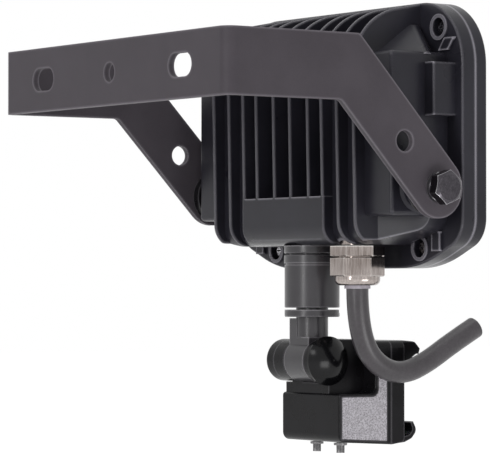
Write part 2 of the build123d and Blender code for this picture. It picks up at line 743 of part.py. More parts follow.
DRIVER_FACE = DRIVER_D + BOARD_T
with BuildPart() as driver_components:
    face_box((17, 16), DRIVER_X + 1, DRIVER_Z + 2, DRIVER_FACE, 12)
    face_box((8, 5), DRIVER_X + 5, DRIVER_Z - 12, DRIVER_FACE, 4)
    forward(DRIVER_X - 4, (DRIVER_FACE, DRIVER_FACE + 12), DRIVER_Z - 15, 5)
    forward(DRIVER_X - 4, (DRIVER_FACE, DRIVER_FACE + 9), DRIVER_Z + 17, 4)
    forward(DRIVER_X + 5, (DRIVER_FACE, DRIVER_FACE + 7), DRIVER_Z + 17, 3.5)
save(driver_components, "driver_components")

with BuildPart() as driver_screws:
    for x, z in driver_screw_places():
        forward(x, (DRIVER_FACE, DRIVER_FACE + M3_HEAD), z, M3_HEAD_R)
        forward(x, (POCKET_BACK + 0.5, DRIVER_FACE), z, M3_R)
save(driver_screws, "driver_screws")

TERMINAL_TOP = POCKET_BACK + TERMINAL[2]
TERMINAL_PITCH = TERMINAL[1] / 3

with BuildPart() as terminal_block:
    face_box(TERMINAL, TERMINAL_X, TERMINAL_Z, POCKET_BACK, TERMINAL[2])
    for step in (-1, 0, 1):
        z = TERMINAL_Z + step * TERMINAL_PITCH
        forward(TERMINAL_X, (TERMINAL_TOP - 6, TERMINAL_TOP + 1), z, 2.4, Mode.SUBTRACT)
        crossways((TERMINAL_X - 8, TERMINAL_X + 8), TERMINAL_TOP - 8, z, 1.6, Mode.SUBTRACT)
save(terminal_block, "terminal_block")

with BuildPart() as terminal_screws:
    for step in (-1, 0, 1):
        z = TERMINAL_Z + step * TERMINAL_PITCH
        forward(TERMINAL_X, (TERMINAL_TOP - 5.9, TERMINAL_TOP - 2), z, 2.3)
        face_box((5, 0.7), TERMINAL_X, z, TERMINAL_TOP - 3, 2, Mode.SUBTRACT)
save(terminal_screws, "terminal_screws")

with BuildPart() as earth_screw:
    forward(TERMINAL_X, (EARTH_D, EARTH_D + M3_HEAD), EARTH_Z, M3_HEAD_R)
    forward(TERMINAL_X, (POCKET_BACK + 0.5, EARTH_D), EARTH_Z, M3_R)
save(earth_screw, "earth_screw")

# Cable gland
def gland_ring(z, radius, bore=0.0):
    """A round piece on the gland's axis, with a hole through it."""
    upright(GLAND_X, GLAND_D, z, radius)
    if bore:
        upright(GLAND_X, GLAND_D, z, bore, Mode.SUBTRACT)


def hex_prism(x, d, z, across_flats, turn):
    with BuildSketch(Plane.XY.offset(z[0])) as outline:
        with Locations((x, -d)):
            RegularPolygon(across_flats / 2, 6, major_radius=False, rotation=turn)
    extrude(outline.sketch, amount=z[1] - z[0])


with BuildPart() as gland_washer:
    gland_ring((GLAND_SEAT + GAP, LOW_BOTTOM - GAP), GLAND_THREAD_R + 1.9, GLAND_THREAD_R + 0.1)
save(gland_washer, "gland_washer")

with BuildPart() as gland_body:
    hex_prism(GLAND_X, GLAND_D, (GLAND_HEX_END, GLAND_SEAT), GLAND_AF, GLAND_TURN)
    chamfer(gland_body.edges().group_by(Axis.Z)[0], 0.4)
    gland_ring((GLAND_SEAT, TROUGH_LOW + 1.5), GLAND_THREAD_R)
    gland_ring((GLAND_CHIN_END, GLAND_HEX_END), GLAND_CHIN_R)
    upright(GLAND_X, GLAND_D, (GLAND_CHIN_END - 1, TROUGH_LOW + 2), GLAND_BORE_R, Mode.SUBTRACT)
save(gland_body, "gland_body")

with BuildPart() as gland_nut:
    hex_prism(GLAND_X, GLAND_D, (NUT_HEX_END, NUT_TOP), GLAND_AF, NUT_TURN)
    chamfer(gland_nut.edges().group_by(Axis.Z)[0], 0.5)
    chamfer(gland_nut.edges().group_by(Axis.Z)[-1], 0.3)
    gland_ring((NUT_DOME_END, NUT_HEX_END), NUT_DOME_R)
    fillet(gland_nut.edges().group_by(Axis.Z)[0], 2.6)
    upright(GLAND_X, GLAND_D, (SEAL_LEDGE, NUT_TOP + 1), GLAND_CHIN_R + 0.1, Mode.SUBTRACT)
    upright(GLAND_X, GLAND_D, (NUT_DOME_END - 1, NUT_TOP), SEAL_LIP_R + 0.1, Mode.SUBTRACT)
save(gland_nut, "gland_nut")

with BuildPart() as gland_seal:
    gland_ring((SEAL_LEDGE + GAP, GLAND_CHIN_END - GAP), GLAND_CHIN_R)
    gland_ring((GLAND_EXIT, SEAL_LEDGE + 1), SEAL_LIP_R)
    upright(GLAND_X, GLAND_D, (GLAND_EXIT - 1, GLAND_CHIN_END), CABLE_R + GAP, Mode.SUBTRACT)
save(gland_seal, "gland_seal")

# The cable: a straight stretch in the gland and the free stretch to its cut end
with BuildPart() as cable_in_gland:
    upright(GLAND_X, GLAND_D, (GLAND_EXIT, SHEATH_TOP), CABLE_R)
save(cable_in_gland, "cable_in_gland")

route = [(GLAND_X, -d, z) for d, z in CABLE_ROUTE]
radii = tube_radii(route)
with BuildPart() as mains_cable:
    with BuildLine() as path:
        FilletPolyline(*route, radius=radii)
    with BuildSketch(Plane(route[0], x_dir=(1, 0, 0), z_dir=(0, 0, -1))):
        Circle(CABLE_R)
    sweep()
save(mains_cable, "mains_cable")

length = path.wires()[0].length
expected = pi * CABLE_R ** 2 * length
print("cable radii", [round(radius, 1) for radius in radii])
print("cable length", round(length, 1), "volume ratio",
      round(mains_cable.part.volume / expected, 4))

# Sensor stem
def stem_ring(z, radius, bore=0.0):
    """A round piece on the stem's axis, with a hole through it."""
    upright(0, STEM_D, z, radius)
    if bore:
        upright(0, STEM_D, z, bore, Mode.SUBTRACT)


SHAFT_HOLE_R = SHAFT_R + RUNNING

with BuildPart() as sensor_socket:
    stem_ring((COLLAR_END, LOW_BOTTOM - GAP), COLLAR_R)
    fillet(sensor_socket.edges().group_by(Axis.Z)[0], 0.6)
    stem_ring((LOW_BOTTOM - 1, SPIGOT_TOP), SPIGOT_R)
    stem_ring((SOCKET_END, COLLAR_END), SOCKET_R)
    upright(0, STEM_D, (SOCKET_END - 1, SPIGOT_TOP + 1), SHAFT_HOLE_R, Mode.SUBTRACT)
    upright(0, STEM_D, O_RING_Z, O_RING_R + GAP, Mode.SUBTRACT)
save(sensor_socket, "sensor_socket")

with BuildPart() as stem_o_ring:
    stem_ring((O_RING_Z[0] + GAP, O_RING_Z[1] - GAP), O_RING_R, SHAFT_HOLE_R)
save(stem_o_ring, "stem_o_ring")

with BuildPart() as socket_locknut:
    hex_prism(0, STEM_D, (TROUGH_LOW + GAP, SPIGOT_TOP - WASHER_PLAY), LOCKNUT_AF, 0)
    upright(0, STEM_D, (TROUGH_LOW, SPIGOT_TOP), SPIGOT_R + GAP, Mode.SUBTRACT)
save(socket_locknut, "socket_locknut")

with BuildPart() as sensor_sleeve:
    stem_ring((SLEEVE_END, SLEEVE_RING_END - GROOVE_W), SLEEVE_R)
    fillet(sensor_sleeve.edges().group_by(Axis.Z)[0], 0.4)
    stem_ring((SLEEVE_RING_END - GROOVE_W, SLEEVE_RING_END), SLEEVE_R - GROOVE_W)
    stem_ring((SLEEVE_RING_END, SLEEVE_TOP), COLLAR_R)
    fillet(sensor_sleeve.edges().group_by(Axis.Z)[-1], 0.5)
    upright(0, STEM_D, (SLEEVE_END - 1, SLEEVE_TOP + 1), SOCKET_R + GAP, Mode.SUBTRACT)
save(sensor_sleeve, "sensor_sleeve")

with BuildPart() as lock_ring:
    stem_ring((LOCK_END, LOCK_TOP), LOCK_R, SHAFT_HOLE_R)
    fillet(lock_ring.edges().filter_by(GeomType.CIRCLE).group_by(Axis.Z)[0].sort_by(
        SortBy.LENGTH)[-1], 0.4)
    block(LOCK_NOTCH, (STEM_D + SHAFT_R, STEM_D + LOCK_R + 1), (LOCK_TOP - 1.4, LOCK_TOP + 1),
          Mode.SUBTRACT)
save(lock_ring, "lock_ring")

with BuildPart() as swivel_arm:
    stem_ring((SHAFT_END, CLIP_Z - CLIP_T - GAP), SHAFT_R)
    stem_ring((CLIP_Z - CLIP_T - GAP, CLIP_Z + GAP), CLIP_BORE_R - GAP)
    stem_ring((CLIP_Z + GAP, SHAFT_TOP), SHAFT_R)
    block((-KNUCKLE_HALF, KNUCKLE_HALF), (RIB_D, NECK_FRONT_D), (TILT_Z, SHAFT_END + 1))
    crossways((-KNUCKLE_HALF, KNUCKLE_HALF), TILT_D, TILT_Z, BARREL_R)
    block(RIB_X, (RIB_D, STEM_D), (SHAFT_END, LOCK_END - 0.6))
    crossways((-KNUCKLE_HALF - 1, KNUCKLE_HALF + 1), TILT_D, TILT_Z, PIN_R + RUNNING,
              Mode.SUBTRACT)
    upright(0, STEM_D, (SHAFT_END, SHAFT_TOP + 1), SHAFT_BORE_R, Mode.SUBTRACT)
save(swivel_arm, "swivel_arm")

with BuildPart() as shaft_clip:
    stem_ring((CLIP_Z - CLIP_T, CLIP_Z), CLIP_R, CLIP_BORE_R)
    block((-1.5, 1.5), (STEM_D - CLIP_R - 1, STEM_D), (CLIP_Z - CLIP_T - 1, CLIP_Z + 1),
          Mode.SUBTRACT)
save(shaft_clip, "shaft_clip")

# Sensor head
BARREL_TOP = TILT_Z + BARREL_R
BARREL_LOW = TILT_Z - BARREL_R
INNER_HALF = HEAD_HALF - CASE_WALL
PANEL_END_D = CASE_SEAM_D - 2.5


def head_low(d):
    """Height of the head's underside, which drops towards the front."""
    return HEAD_BOTTOM - (d - HEAD_REAR_D) * HEAD_SLOPE


def case_outline(start, margin, end, top=HEAD_TOP):
    """Side view of the rear case, drawn in by a margin from the back and the ends."""
    rear = HEAD_REAR_D + start
    return [(STEP_D + start, top - margin), (end, top - margin), (end, head_low(end) + margin),
            (rear, head_low(rear) + margin), (rear, STEP_Z - margin),
            (STEP_D + start, STEP_Z - margin)]


def round_top(start, end):
    """Round the upper side edges of the head between two distances from the wall."""
    low = HEAD_TOP - 2 * HEAD_HALF - 10
    with BuildSketch(Plane.XZ.offset(start)) as outline:
        with BuildLine():
            Polyline((HEAD_HALF, HEAD_TOP), (HEAD_HALF, low), (-HEAD_HALF, low),
                     (-HEAD_HALF, HEAD_TOP), close=True)
        make_face()
        round_corner(outline, (HEAD_HALF, HEAD_TOP), HEAD_ROUND)
        round_corner(outline, (-HEAD_HALF, HEAD_TOP), HEAD_ROUND)
    extrude(outline.sketch, amount=end - start, mode=Mode.INTERSECT)


def panel_shape(margin, x):
    inset = PANEL_MARGIN - margin
    side_profile(case_outline(inset, inset, PANEL_END_D + margin, PANEL_TOP), x,
                 [((STEP_D + inset, STEP_Z - inset), STEP_R)])


with BuildPart() as sensor_panels:
    panel_shape(0, (HEAD_HALF - PANEL_T, HEAD_HALF - GAP))
    mirror(about=Plane.YZ)
save(sensor_panels, "sensor_panels")

with BuildPart() as panel_recess:
    panel_shape(0.1, (HEAD_HALF - PANEL_T - GAP, HEAD_HALF + 1))
    mirror(about=Plane.YZ)

with BuildPart() as sensor_rear_case:
    side_profile(case_outline(0, 0, CASE_SEAM_D), (-HEAD_HALF, HEAD_HALF),
                 [((STEP_D, STEP_Z), STEP_R), ((HEAD_REAR_D, HEAD_BOTTOM), 3.5),
                  ((HEAD_REAR_D, STEP_Z), 1.5), ((STEP_D, HEAD_TOP), 1.5)])
    case_sides = sensor_rear_case.faces().filter_by(Axis.X)
    soft = case_sides.edges().filter_by(lambda e: e.center().Y > -CASE_SEAM_D + 0.1)
    fillet(soft, CASE_R)
    round_top(HEAD_REAR_D - 1, CASE_SEAM_D)
    for ear in ((NEAR_EAR, -SLOT_HALF), (SLOT_HALF, FAR_EAR)):
        crossways(ear, TILT_D, TILT_Z, BARREL_R)
        block(ear, (TILT_D, STEP_D + 1), (BARREL_LOW, BARREL_TOP))
        block(ear, (WEB_D, STEP_D + 1), (STEP_Z - 1, TILT_Z))
    block((NEAR_EAR, WEB_FAR), (WEB_D, STEP_D + 1), (STEP_Z - 1, BARREL_LOW - 0.4))
    block((NEAR_EAR, FAR_EAR), (BRIDGE_D, STEP_D + 1), (BARREL_LOW, BARREL_TOP))
    side_profile(case_outline(CASE_WALL, CASE_WALL, CASE_SEAM_D + 1), (-INNER_HALF, INNER_HALF),
                 mode=Mode.SUBTRACT)
    add(panel_recess.part, mode=Mode.SUBTRACT)
    crossways((-HEAD_HALF, HEAD_HALF), TILT_D, TILT_Z, PIN_R + GAP, Mode.SUBTRACT)
    for x in (-KNOB_X, KNOB_X):
        upright(x, KNOB_D, (HEAD_BOTTOM - 3, HEAD_BOTTOM + CASE_WALL + 1), KNOB_HOLE_R,
                Mode.SUBTRACT)
save(sensor_rear_case, "sensor_rear_case")

with BuildPart() as sensor_bezel:
    bezel_back = CASE_SEAM_D + GAP
    bezel_root = BEZEL_D - 2
    bezel_low = head_low(bezel_back)
    side_profile([(bezel_back, HEAD_TOP), (BEZEL_D, HEAD_TOP), (BEZEL_D, bezel_low + 1),
                  (bezel_back, bezel_low)], (-HEAD_HALF, HEAD_HALF),
                 [((BEZEL_D, HEAD_TOP), 1.5), ((BEZEL_D, bezel_low + 1), 2)])
    side_profile([(bezel_root, HEAD_TOP), (BEZEL_D + 1, HEAD_TOP), *VISOR,
                  (bezel_root, LENS_TOP)], (-VISOR_HALF, VISOR_HALF),
                 [((BEZEL_D + 1, HEAD_TOP), 4), (VISOR[0], 3)])
    for sign in (1, -1):
        side_profile([(bezel_root, CHEEK[0][1]), *CHEEK, (bezel_root, CHEEK[2][1] - 4)],
                     (sign * CHEEK_X[0], sign * CHEEK_X[1]), [(CHEEK[1], 4)])
    side_profile([(bezel_root, bezel_low + 0.5), *LIP, (bezel_root, LIP[-1][1] - 1)],
                 (-VISOR_HALF, VISOR_HALF), [(LIP[1], 3), (LIP[2], 3), (LIP[5], 2), (LIP[6], 2)])
    block((-INNER_HALF, INNER_HALF), (CASE_SEAM_D - 1, BEZEL_D - LENS_T),
          (HEAD_TOP - CASE_WALL, bezel_low + CASE_WALL + 1), Mode.SUBTRACT)
    block((-LENS_HALF, LENS_HALF), (CASE_SEAM_D, BEZEL_D + 0.1), (LENS_TOP, LENS_BOTTOM),
          Mode.SUBTRACT)
    round_top(CASE_SEAM_D, VISOR[0][0] + 5)
save(sensor_bezel, "sensor_bezel")


def lens_plan(shrink, z, mode=Mode.ADD):
    """Bulged plan of the sensor's lens between two heights."""
    half = LENS_HALF - 0.3 - shrink
    start = -(BEZEL_D - LENS_T - 0.5)
    tip = -(BEZEL_D + LENS_BULGE) + shrink
    with BuildSketch(Plane.XY.offset(z[0])) as plan:
        with BuildLine():
            Polyline((-half, -BEZEL_D), (-half, start + shrink), (half, start + shrink),
                     (half, -BEZEL_D))
            ThreePointArc((half, -BEZEL_D), (0, tip), (-half, -BEZEL_D))
        make_face()
    extrude(plan.sketch, amount=z[1] - z[0], mode=mode)


with BuildPart() as sensor_lens:
    lens_z = (LENS_BOTTOM + 0.3, LENS_TOP - 0.3)
    lens_plan(0, lens_z)
    block((-INNER_HALF + 0.3, INNER_HALF - 0.3), (BEZEL_D - 2 * LENS_T, BEZEL_D - LENS_T - GAP),
          (LENS_BOTTOM - 2, LENS_TOP + 2))
    lens_plan(LENS_T, (lens_z[0] + LENS_T, lens_z[1] - LENS_T), Mode.SUBTRACT)
    inside = LENS_HALF - 0.3 - LENS_T
    block((-inside, inside), (BEZEL_D - 3 * LENS_T, BEZEL_D - LENS_T),
          (lens_z[0] + LENS_T, lens_z[1] - LENS_T), Mode.SUBTRACT)
save(sensor_lens, "sensor_lens")

with BuildPart() as sensor_board:
    face_box(SENSOR_BOARD, 0, SENSOR_Z, SENSOR_BOARD_D, BOARD_T)
save(sensor_board, "sensor_board")

with BuildPart() as pyro_element:
    forward(0, (SENSOR_BOARD_D + BOARD_T, SENSOR_BOARD_D + BOARD_T + 0.6), SENSOR_Z, 4.6)
    forward(0, (SENSOR_BOARD_D + BOARD_T, SENSOR_BOARD_D + BOARD_T + 4), SENSOR_Z, 4.1)
save(pyro_element, "pyro_element")

POT_LOW = HEAD_BOTTOM + CASE_WALL + GAP
with BuildPart() as potentiometers:
    for x in (-KNOB_X, KNOB_X):
        block((x - 4, x + 4), (KNOB_D - 4, KNOB_D + 4), (POT_LOW, POT_LOW + POT_H))
        upright(x, KNOB_D, (POT_LOW - 1, POT_LOW + POT_H - 1), KNOB_R + RUNNING, Mode.SUBTRACT)
save(potentiometers, "potentiometers")

with BuildPart() as control_board:
    board_low = POT_LOW + POT_H
    block((-CONTROL_BOARD_HALF, CONTROL_BOARD_HALF), (KNOB_D - 6, SENSOR_BOARD_D - 1),
          (board_low, board_low + BOARD_T))
save(control_board, "control_board")

with BuildPart() as tilt_pin:
    crossways((NEAR_EAR, FAR_EAR), TILT_D, TILT_Z, PIN_R)
save(tilt_pin, "tilt_pin")


def turned_cap(points, bulge=None):
    """A round cap on the tilt axis, from its (across, radius) outline."""
    with BuildSketch(Plane.XY.offset(TILT_Z)) as profile:
        with BuildLine():
            line = Polyline(*[(x, r - TILT_D) for x, r in points])
            if bulge:
                ThreePointArc(line @ 1, (bulge[0], bulge[1] - TILT_D), line @ 0)
            else:
                Line(line @ 1, line @ 0)
        make_face()
    revolve(profile.sketch, axis=Axis((0, -TILT_D, TILT_Z), (1, 0, 0)))


with BuildPart() as pivot_cap:
    cap_base = NEAR_EAR - GAP
    cap_rim = cap_base - CAP_RIM
    sphere = (CAP_R ** 2 + CAP_RISE ** 2) / (2 * CAP_RISE)
    middle_r = CAP_R / 2
    middle_x = cap_rim - CAP_RISE + sphere - (sphere ** 2 - middle_r ** 2) ** 0.5
    turned_cap([(cap_rim - CAP_RISE, 0), (cap_base, 0), (cap_base, CAP_R), (cap_rim, CAP_R)],
               (middle_x, middle_r))
save(pivot_cap, "pivot_cap")

with BuildPart() as end_cap:
    crossways((FAR_EAR + GAP, FAR_EAR + END_CAP_T), TILT_D, TILT_Z, BARREL_R)
    fillet(end_cap.faces().sort_by(Axis.X)[-1].edges(), END_CAP_R)
save(end_cap, "end_cap")


def setting_knob(x):
    """A slotted adjuster that hangs below the sensor's case."""
    seat = head_low(KNOB_D + KNOB_FLANGE_R) - KNOB_GAP
    upright(x, KNOB_D, (seat - KNOB_FLANGE_T, seat), KNOB_FLANGE_R)
    upright(x, KNOB_D, (KNOB_END, POT_LOW + POT_H - 1.2), KNOB_R)
    block((x - KNOB_SLOT_W / 2, x + KNOB_SLOT_W / 2), (KNOB_D - KNOB_R, KNOB_D + KNOB_R),
          (KNOB_END - 1, KNOB_END + KNOB_SLOT_DEPTH), Mode.SUBTRACT)


with BuildPart() as time_knob:
    setting_knob(-KNOB_X)
save(time_knob, "time_knob")

with BuildPart() as lux_knob:
    setting_knob(KNOB_X)
save(lux_knob, "lux_knob")
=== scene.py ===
import json

import bpy
from mathutils import Matrix, Vector


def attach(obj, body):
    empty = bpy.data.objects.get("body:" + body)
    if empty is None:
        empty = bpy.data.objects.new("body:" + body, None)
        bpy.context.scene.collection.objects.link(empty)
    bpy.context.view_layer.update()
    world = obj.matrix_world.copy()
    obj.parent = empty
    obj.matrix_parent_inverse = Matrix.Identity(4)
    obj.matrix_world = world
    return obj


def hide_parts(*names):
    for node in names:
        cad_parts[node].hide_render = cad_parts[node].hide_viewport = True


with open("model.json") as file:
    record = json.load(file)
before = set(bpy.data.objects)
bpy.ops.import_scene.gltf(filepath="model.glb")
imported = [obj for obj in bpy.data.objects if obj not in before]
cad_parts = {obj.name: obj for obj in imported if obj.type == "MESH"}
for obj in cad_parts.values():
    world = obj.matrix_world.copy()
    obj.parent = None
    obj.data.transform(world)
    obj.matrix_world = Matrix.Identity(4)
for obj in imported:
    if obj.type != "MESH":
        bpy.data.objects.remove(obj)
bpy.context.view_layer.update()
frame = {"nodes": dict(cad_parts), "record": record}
nodes = frame["nodes"]

# Camera at the photograph's place: right, up and back directions, then position
camera_data = bpy.data.cameras.new("camera")
camera_data.sensor_width = 36.0
camera_data.lens = 225.64
camera_data.clip_end = 20.0  # beyond the far corner of the floor
camera = bpy.data.objects.new("camera", camera_data)
bpy.context.scene.collection.objects.link(camera)
right = Vector((-0.56783, -0.82315, 0.0)).normalized()
back = Vector((-0.82299, 0.56772, -0.01970)).normalized()
turn = Matrix((right, back.cross(right), back)).transposed().to_4x4()
camera.matrix_world = Matrix.Translation((-1.10924, 0.69479, -0.09299)) @ turn
bpy.context.scene.camera = camera
bpy.context.scene.view_settings.view_transform = "Standard"


def link(name, data):
    obj = bpy.data.objects.new(name, data)
    bpy.context.scene.collection.objects.link(obj)
    return obj


# The free cable, from the gland to its cut end
GLAND_X = -0.0347
CABLE_R = 0.00485
CABLE_RUN = [  # millimetres from the wall, and height
    (106.0, -92.2),
    (106.0, -102.4),
    (109.7, -118.2),
    (119.1, -127.2),
    (131.5, -129.7),
    (144.3, -124.7),
    (158.9, -116.0),
    (171.4, -109.5),
]


def cable_curve(name):
    """A round tube along the run. The bevel is 1 m, times the radius at each point."""
    curve = bpy.data.curves.new(name, "CURVE")
    curve.dimensions = "3D"
    curve.resolution_u = 24
    curve.bevel_depth = 1.0
    curve.bevel_resolution = 8
    curve.use_fill_caps = True
    spline = curve.splines.new("NURBS")
    spline.points.add(len(CABLE_RUN) - 1)
    for point, (out, height) in zip(spline.points, CABLE_RUN):
        point.co = (GLAND_X, -out / 1000, height / 1000, 1)
        point.radius = CABLE_R
    spline.order_u = 3
    spline.use_endpoint_u = True
    return link(name, curve)


cable = cable_curve("power_lead")
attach(cable, "lamp")
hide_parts("mains_cable")


# Node helpers for the materials
def linear(rgb):
    """Screen colour, 0 to 255, as a linear colour with alpha."""
    out = []
    for value in rgb:
        v = value / 255
        out.append(v / 12.92 if v <= 0.04045 else ((v + 0.055) / 1.055) ** 2.4)
    return (*out, 1.0)


class Shade:
    """A material being built from nodes."""

    def __init__(self, name):
        self.material = bpy.data.materials.new(name)
        self.material.use_nodes = True
        self.tree = self.material.node_tree
        self.tree.nodes.clear()
        self.shader = self.node("ShaderNodeBsdfPrincipled")
        output = self.node("ShaderNodeOutputMaterial")
        self.join(self.shader.outputs["BSDF"], output.inputs["Surface"])
        self.place = self.node("ShaderNodeTexCoord").outputs["Object"]

    def node(self, kind, **settings):
        made = self.tree.nodes.new(kind)
        for key, value in settings.items():
            setattr(made, key, value)
        return made

    def join(self, source, target):
        self.tree.links.new(source, target)

    def stretch(self, scale):
        mapping = self.node("ShaderNodeMapping")
        mapping.inputs["Scale"].default_value = scale
        self.join(self.place, mapping.inputs["Vector"])
        return mapping.outputs["Vector"]

    def noise(self, scale, detail=3.0, rough=0.55, at=None):
        made = self.node("ShaderNodeTexNoise")
        made.inputs["Scale"].default_value = scale
        made.inputs["Detail"].default_value = detail
        made.inputs["Roughness"].default_value = rough
        self.join(at or self.place, made.inputs["Vector"])
        return made.outputs["Fac"]

    def cells(self, scale, at=None):
        made = self.node("ShaderNodeTexVoronoi")
        made.inputs["Scale"].default_value = scale
        self.join(at or self.place, made.inputs["Vector"])
        return made.outputs["Distance"]

    def ramp(self, source, stops):
        made = self.node("ShaderNodeValToRGB")
        elements = made.color_ramp.elements
        while len(elements) < len(stops):
            elements.new(0.5)
        for element, (at, color) in zip(elements, stops):
            element.position = at
            element.color = color
        self.join(source, made.inputs["Fac"])
        return made.outputs["Color"]

    def spread(self, source, low, high, start=0.3, end=0.7):
        made = self.node("ShaderNodeMapRange")
        made.inputs["From Min"].default_value = start
        made.inputs["From Max"].default_value = end
        made.inputs["To Min"].default_value = low
        made.inputs["To Max"].default_value = high
        self.join(source, made.inputs["Value"])
        return made.outputs["Result"]

    def add(self, first, second, share=0.5):
        made = self.node("ShaderNodeMix")
        made.inputs["Factor"].default_value = share
        self.join(first, made.inputs["A"])
        self.join(second, made.inputs["B"])
        return made.outputs["Result"]

    def edge_highlight_mask(self, reach):
        """Mask for the painted edge highlight: 1 on outer edges, where the surface turns away
        within the reach, 0 elsewhere.
        """
        made = self.node("ShaderNodeAmbientOcclusion", inside=True, only_local=True, samples=12)
        made.inputs["Distance"].default_value = reach
        return self.spread(made.outputs["AO"], 1.0, 0.0, 0.45, 0.9)

    def color(self, source, dark, light, start=0.3, end=0.7, edge_highlight=None, reach=0.0013):
        """A tint between two screen colours, and a third on the outer edges as a painted
        highlight.
        """
        tint = self.ramp(source, [(start, linear(dark)), (end, linear(light))])
        # painted highlight: the edge colour is mixed into the base colour along outer edges,
        # standing in for light caught by rounded edges
        if edge_highlight:
            made = self.node("ShaderNodeMix", data_type="RGBA")
            self.join(self.edge_highlight_mask(reach), made.inputs[0])
            self.join(tint, made.inputs[6])
            made.inputs[7].default_value = linear(edge_highlight)
            tint = made.outputs[2]
        self.join(tint, self.shader.inputs["Base Color"])

    def roughness(self, source, low, high):
        self.join(self.spread(source, low, high), self.shader.inputs["Roughness"])

    def bump(self, source, height, strength=1.0):
        made = self.node("ShaderNodeBump")
        made.inputs["Distance"].default_value = height
        made.inputs["Strength"].default_value = strength
        self.join(source, made.inputs["Height"])
        self.join(made.outputs["Normal"], self.shader.inputs["Normal"])

    def set(self, **values):
        for key, value in values.items():
            self.shader.inputs[key.replace("_", " ")].default_value = value


# the edge colour is a painted highlight on the outer edges
def powder_coat(name, dark, light, rough, edge_highlight, gloss, grain=2600.0, height=0.00005):
    shade = Shade(name)
    fine = shade.noise(grain, 2.0)
    broad = shade.noise(38.0, 3.0)
    shade.color(shade.add(broad, fine, 0.35), dark, light, 0.35, 0.65, edge_highlight)
    shade.roughness(broad, rough - 0.04, rough + 0.05)
    shade.bump(fine, height)
    shade.set(Specular_IOR_Level=gloss)
    return shade.material


# the edge colour is a painted highlight on the outer edges
def moulded(name, dark, light, rough, edge_highlight=None, gloss=0.5, grain=1500.0, height=0.00001):
    shade = Shade(name)
    fine = shade.noise(grain, 2.0)
    broad = shade.noise(60.0, 2.0)
    shade.color(shade.add(broad, fine, 0.3), dark, light, 0.35, 0.65, edge_highlight, 0.0009)
    shade.roughness(broad, rough - 0.05, rough + 0.06)
    shade.bump(fine, height)
    shade.set(Specular_IOR_Level=gloss)
    return shade.material


def grained(name, dark, light, rough, scale=1700.0, height=0.00012):
    """Spark-eroded plastic: small pits that catch the light."""
    shade = Shade(name)
    pits = shade.cells(scale)
    fine = shade.noise(scale * 0.8, 3.0)
    both = shade.add(pits, fine, 0.5)
    shade.color(both, dark, light, 0.3, 0.62)
    shade.roughness(fine, rough - 0.06, rough + 0.06)
    shade.bump(both, height)
    return shade.material


# the edge colour is a painted highlight on the outer edges
def metal(name, dark, light, rough, edge_highlight=None, streak=(40.0, 40.0, 900.0), height=0.000004):
    shade = Shade(name)
    lines = shade.noise(3.0, 4.0, 0.6, shade.stretch(streak))
    broad = shade.noise(70.0, 2.0)
    shade.color(shade.add(lines, broad, 0.4), dark, light, 0.3, 0.7, edge_highlight, 0.0007)
    shade.roughness(lines, rough - 0.05, rough + 0.07)
    shade.bump(lines, height)
    shade.set(Metallic=1.0)
    return shade.material


def rubber(name, dark, light, rough=0.62, grain=900.0):
    shade = Shade(name)
    fine = shade.noise(grain, 4.0)
    broad = shade.noise(120.0, 3.0)
    shade.color(shade.add(fine, broad, 0.5), dark, light, 0.35, 0.65)
    shade.roughness(broad, rough - 0.06, rough + 0.06)
    shade.bump(fine, 0.00003)
    return shade.material


def circuit(name, mask, track):
    """Solder resist over copper tracks."""
    shade = Shade(name)
    brick = shade.node("ShaderNodeTexBrick")
    brick.inputs["Scale"].default_value = 260.0
    brick.inputs["Mortar Size"].default_value = 0.012
    brick.inputs["Color1"].default_value = linear(mask)
    brick.inputs["Color2"].default_value = linear([v * 0.9 for v in mask])
    brick.inputs["Mortar"].default_value = linear(track)
    shade.join(shade.place, brick.inputs["Vector"])
    shade.join(brick.outputs["Color"], shade.shader.inputs["Base Color"])
    shade.roughness(shade.noise(400.0), 0.28, 0.4)
    shade.bump(brick.outputs["Fac"], 0.00003)
    return shade.material


def clear_glass():
    shade = Shade("window_glass")
    shade.color(shade.noise(12.0), (236, 246, 240), (246, 251, 248))
    shade.roughness(shade.noise(30.0), 0.01, 0.03)
    shade.set(Transmission_Weight=1.0, IOR=1.5)
    return shade.material


def milky():
    shade = Shade("milky_lens")
    shade.color(shade.noise(160.0, 3.0), (226, 226, 224), (240, 240, 238))
    shade.roughness(shade.noise(500.0), 0.34, 0.46)
    shade.bump(shade.noise(900.0), 0.00001)
    shade.set(Subsurface_Weight=0.5, Subsurface_Scale=0.004, IOR=1.45)
    return shade.material


def phosphor():
    shade = Shade("led_yellow")
    shade.color(shade.noise(1800.0, 2.0), (214, 178, 40), (238, 206, 78))
    shade.roughness(shade.noise(900.0), 0.3, 0.45)
    shade.bump(shade.noise(2600.0), 0.00002)
    return shade.material


def dimpled():
    shade = Shade("reflector_aluminium")
    cells = shade.cells(420.0)
    shade.color(shade.noise(90.0), (205, 206, 210), (228, 229, 232))
    shade.roughness(shade.noise(200.0), 0.22, 0.34)
    shade.bump(cells, 0.0002)
    shade.set(Metallic=1.0)
    return shade.material
